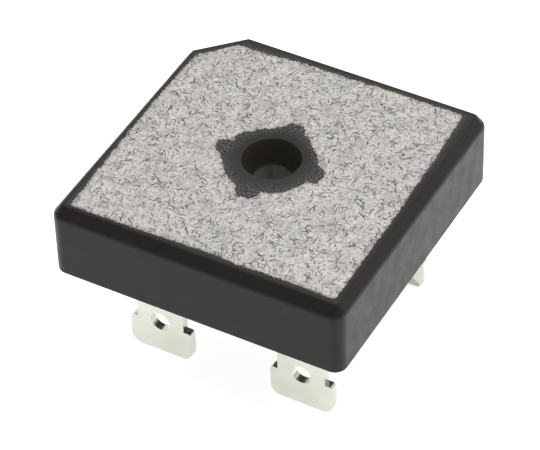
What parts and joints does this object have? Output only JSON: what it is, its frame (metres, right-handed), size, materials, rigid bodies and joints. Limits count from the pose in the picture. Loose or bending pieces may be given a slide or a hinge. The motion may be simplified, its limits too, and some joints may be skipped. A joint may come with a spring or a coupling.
{
  "type": "bridge rectifier",
  "caption": "Square moulded single-phase bridge rectifier with a flush base plate to bolt to a heat sink, a central screw hole, a cut-off index corner and quick-connect tabs.",
  "frame": {"origin": "centre of the screw hole in the plane of the base plate's outer face", "axes": "+Z out of the base plate along the screw hole's axis, the tabs point to -Z, the index corner points to -X and +Y"},
  "size_m": [0.0286, 0.0286, 0.0201],
  "materials": {
    "resin": "black mineral-filled moulding resin, satin, with thin ragged flash over the plate's edges",
    "plate_metal": "matt grey blasted metal, thick with short dark scratches and pits",
    "tinned_copper": "satin tin plating with a faint green cast",
    "silicon": "dark grey silicon with a passivated face",
    "solder": "dull grey solder"
  },
  "bodies": {
    "root": {"case": "resin", "base_plate": "plate_metal", "terminal_plus": "tinned_copper", "terminal_minus": "tinned_copper", "terminal_ac_1": "tinned_copper", "terminal_ac_2": "tinned_copper", "diode_1": "silicon", "diode_2": "silicon", "diode_3": "silicon", "diode_4": "silicon", "solder_foot_1": "solder", "solder_foot_2": "solder", "solder_foot_3": "solder", "solder_foot_4": "solder", "solder_bridge_1": "solder", "solder_bridge_2": "solder", "solder_bridge_3": "solder", "solder_bridge_4": "solder"}
  },
  "joints": []
}
